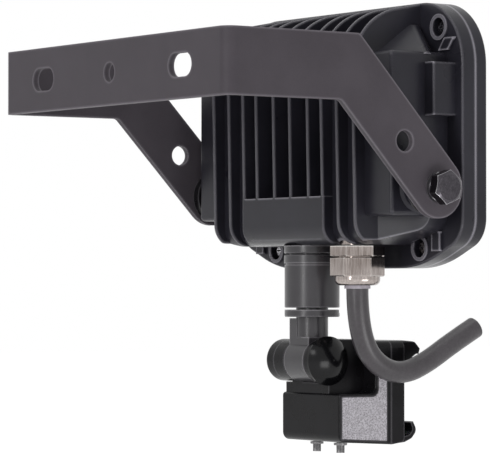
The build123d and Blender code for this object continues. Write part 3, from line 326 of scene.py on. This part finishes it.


# the fourth colour given to powder_coat, moulded and metal is a painted highlight laid on the
# outer edges
FINISH = {
    "bracket_coat": powder_coat("bracket_coat", (78, 73, 79), (88, 83, 89), 0.5,
                                (134, 129, 136), 0.18),
    "housing_coat": powder_coat("housing_coat", (37, 36, 43), (47, 46, 54), 0.3,
                                (168, 165, 174), 0.24),
    "zinc_steel": metal("zinc_steel", (112, 112, 114), (146, 146, 148), 0.34, (200, 200, 202)),
    "bright_steel": metal("bright_steel", (52, 50, 54), (88, 85, 90), 0.14, (235, 234, 238),
                          (400.0, 400.0, 400.0)),
    "black_plastic": moulded("black_plastic", (20, 19, 21), (27, 26, 29), 0.27,
                             (96, 94, 98), 0.13),
    # lighter base colour than black_plastic for the stem parts: painted sheen on the same black
    # plastic
    "satin_black_plastic": moulded("satin_black_plastic", (52, 50, 54), (62, 60, 64), 0.3,
                                   (150, 147, 152)),
    "gloss_black_plastic": moulded("gloss_black_plastic", (14, 14, 16), (20, 20, 22), 0.16,
                                   None, 0.2),
    "grained_grey_plastic": grained("grained_grey_plastic", (140, 136, 142), (212, 208, 215), 0.5),
    "window_glass": clear_glass(),
    "seal_rubber": rubber("seal_rubber", (36, 36, 36), (48, 48, 48)),
    "thermal_rubber": rubber("thermal_rubber", (150, 150, 154), (172, 172, 176)),
    "pale_rubber": rubber("pale_rubber", (176, 170, 180), (196, 190, 200)),
    "white_board": circuit("white_board", (226, 226, 222), (206, 206, 200)),
    "led_yellow": phosphor(),
    "reflector_aluminium": dimpled(),
    "green_board": circuit("green_board", (28, 92, 56), (58, 130, 84)),
    "component_black": moulded("component_black", (40, 40, 42), (54, 54, 56), 0.45),
    "white_plastic": moulded("white_plastic", (222, 222, 216), (234, 234, 228), 0.4),
    "dial_grey": moulded("dial_grey", (92, 90, 92), (116, 114, 116), 0.25, (190, 188, 190)),
    # the brownish tint is the metal's own; its darkness is a painted reflection of dark
    # surroundings
    "nickel_brass": metal("nickel_brass", (104, 92, 86), (188, 180, 176), 0.17,
                          (240, 236, 232), (700.0, 700.0, 30.0)),
    "cable_rubber": rubber("cable_rubber", (58, 54, 58), (74, 70, 74), 0.36),
    "milky_lens": milky(),
}

slots = {part["node"]: part["material_slot"] for part in frame["record"]["subparts"]}
for name, obj in nodes.items():
    obj.data.materials.clear()
    obj.data.materials.append(FINISH[slots[name]])
cable.data.materials.append(FINISH["cable_rubber"])

# Floor, world and lamps
WHITE = (1.0, 1.0, 1.0, 1.0)
FLOOR_Z = -0.26
FLOOR_REACH = 6.0
FLOOR_GREY = (0.86, 0.86, 0.86, 1)
FLOOR_GLOW = 0.85
FILL_LIGHT = 0.2


def seen_directly(tree):
    """1 for camera, mirror and glass rays, 0 for the light that falls on things."""
    path = tree.nodes.new("ShaderNodeLightPath")
    total = path.outputs["Is Camera Ray"]
    for other in ("Is Glossy Ray", "Is Transmission Ray"):
        made = tree.nodes.new("ShaderNodeMath")
        made.operation = "MAXIMUM"
        tree.links.new(total, made.inputs[0])
        tree.links.new(path.outputs[other], made.inputs[1])
        total = made.outputs[0]
    return total


def studio_world(fill):
    world = bpy.data.worlds.new("studio")
    bpy.context.scene.world = world
    world.use_nodes = True
    tree = world.node_tree
    tree.nodes.clear()
    dim = tree.nodes.new("ShaderNodeBackground")
    dim.inputs["Color"].default_value = WHITE
    dim.inputs["Strength"].default_value = fill
    plain = tree.nodes.new("ShaderNodeBackground")
    plain.inputs["Color"].default_value = WHITE
    plain.inputs["Strength"].default_value = 1.0
    mix = tree.nodes.new("ShaderNodeMixShader")
    output = tree.nodes.new("ShaderNodeOutputWorld")
    tree.links.new(seen_directly(tree), mix.inputs[0])
    tree.links.new(dim.outputs[0], mix.inputs[1])
    tree.links.new(plain.outputs[0], mix.inputs[2])
    tree.links.new(mix.outputs[0], output.inputs["Surface"])


def floor():
    mesh = bpy.data.meshes.new("floor")
    signs = [(-1, -1), (1, -1), (1, 1), (-1, 1)]
    corners = [(x * FLOOR_REACH, y * FLOOR_REACH, FLOOR_Z) for x, y in signs]
    mesh.from_pydata(corners, [], [(0, 1, 2, 3)])
    obj = link("floor", mesh)
    material = bpy.data.materials.new("floor")
    material.use_nodes = True
    tree = material.node_tree
    tree.nodes.clear()
    diffuse = tree.nodes.new("ShaderNodeBsdfDiffuse")
    diffuse.inputs["Color"].default_value = FLOOR_GREY
    glow = tree.nodes.new("ShaderNodeEmission")
    glow.inputs["Color"].default_value = WHITE
    glow.inputs["Strength"].default_value = FLOOR_GLOW
    both = tree.nodes.new("ShaderNodeAddShader")
    tree.links.new(diffuse.outputs[0], both.inputs[0])
    tree.links.new(glow.outputs[0], both.inputs[1])
    mix = tree.nodes.new("ShaderNodeMixShader")
    tree.links.new(seen_directly(tree), mix.inputs[0])
    tree.links.new(diffuse.outputs[0], mix.inputs[1])
    tree.links.new(both.outputs[0], mix.inputs[2])
    output = tree.nodes.new("ShaderNodeOutputMaterial")
    tree.links.new(mix.outputs[0], output.inputs["Surface"])
    obj.data.materials.append(material)


def lamp(name, place, aim, size, power):
    data = bpy.data.lights.new(name, "AREA")
    data.shape = "RECTANGLE"
    data.size, data.size_y = size
    data.energy = power
    obj = link(name, data)
    obj.location = place
    obj.rotation_euler = (Vector(aim) - Vector(place)).to_track_quat("-Z", "Y").to_euler()


studio_world(FILL_LIGHT)
floor()
middle = (0.0, -0.08, -0.05)
sensor = (-0.02, -0.12, -0.12)
lamp("key", (-0.75, 2.3, 0.5), middle, (0.3, 1.5), 18.0)
lamp("top", (-0.1, 0.1, 1.8), middle, (1.2, 1.2), 7.0)
lamp("fill", (-2.0, 1.2, 1.1), middle, (0.6, 0.6), 6.0)
lamp("low", (-0.42, -0.13, -0.235), sensor, (0.2, 0.2), 0.6)
